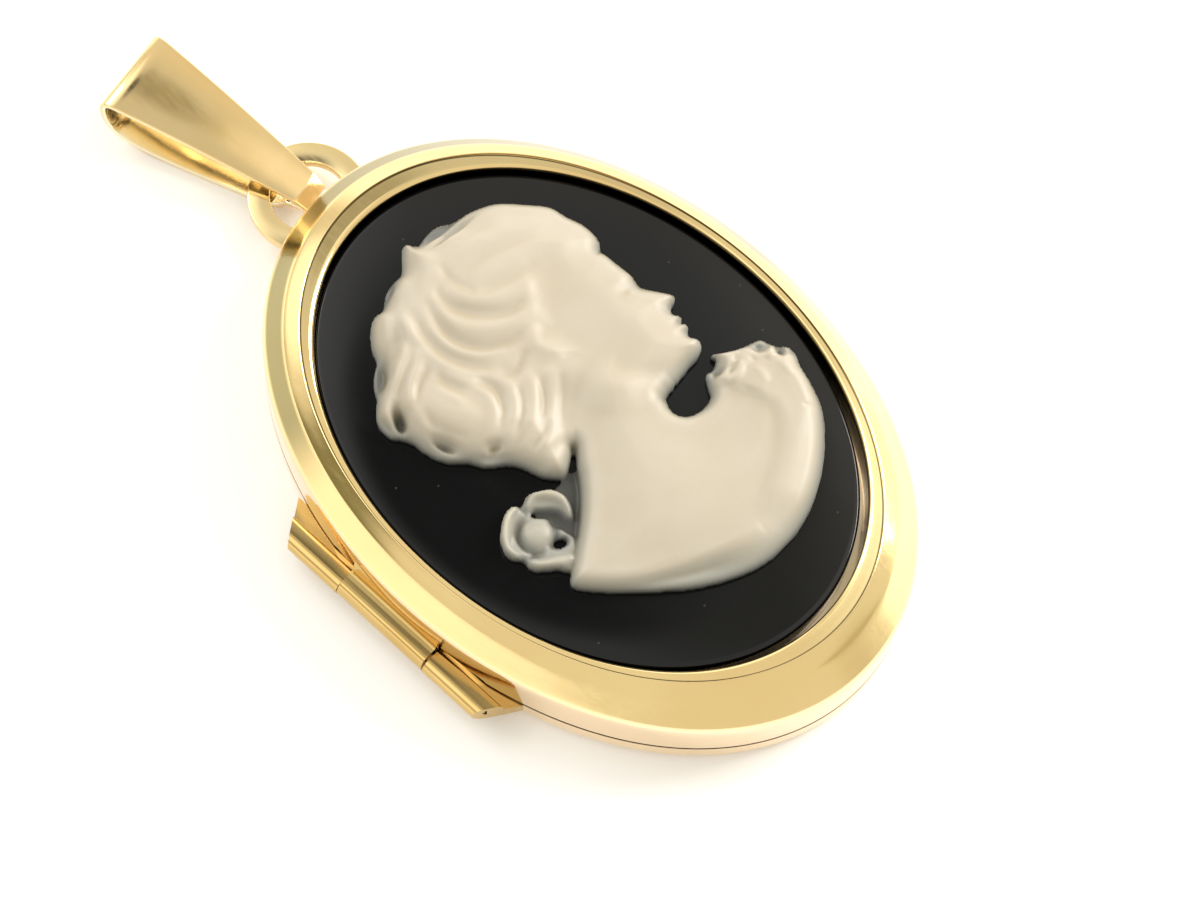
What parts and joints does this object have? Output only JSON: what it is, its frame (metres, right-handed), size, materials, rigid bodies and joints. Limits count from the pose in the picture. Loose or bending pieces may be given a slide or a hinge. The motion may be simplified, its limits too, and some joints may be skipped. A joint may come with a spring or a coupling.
{
  "type": "hinged cameo locket",
  "caption": "Oval hinged locket with a raised pale cameo bust on a dark plate, a flat ring and a tapered folded bail for a chain.",
  "frame": {"origin": "centre of the flat back face of the oval case", "axes": "+Z out of the front, +Y along the oval's length towards the bail, +X across it, away from the hinge"},
  "size_m": [0.0161, 0.0293, 0.0043],
  "materials": {
    "polished_gold": "polished",
    "pin_gold": "satin",
    "bail_gold": "polished",
    "black_glass": "gloss",
    "carved_cream": "satin"
  },
  "bodies": {
    "back_half": {"back_shell": "polished_gold", "hinge_pin": "pin_gold"},
    "front_half": {"front_cover": "polished_gold", "cameo_plate": "black_glass", "cameo_relief": "carved_cream"},
    "bail_body": {"bail": "bail_gold"}
  },
  "joints": [
    {"name": "cover_hinge", "type": "hinge", "parent": "back_half", "child": "front_half", "pos_m": [-0.00793, 0.0003, 0.00095], "axis": [0, -1, 0], "range_deg": [0, 115]},
    {"name": "bail_swing", "type": "hinge", "parent": "back_half", "child": "bail_body", "pos_m": [0.00012, 0.01307, 0.00075], "axis": [0.9877, 0.1564, 0], "range_deg": [-90, 105]}
  ]
}
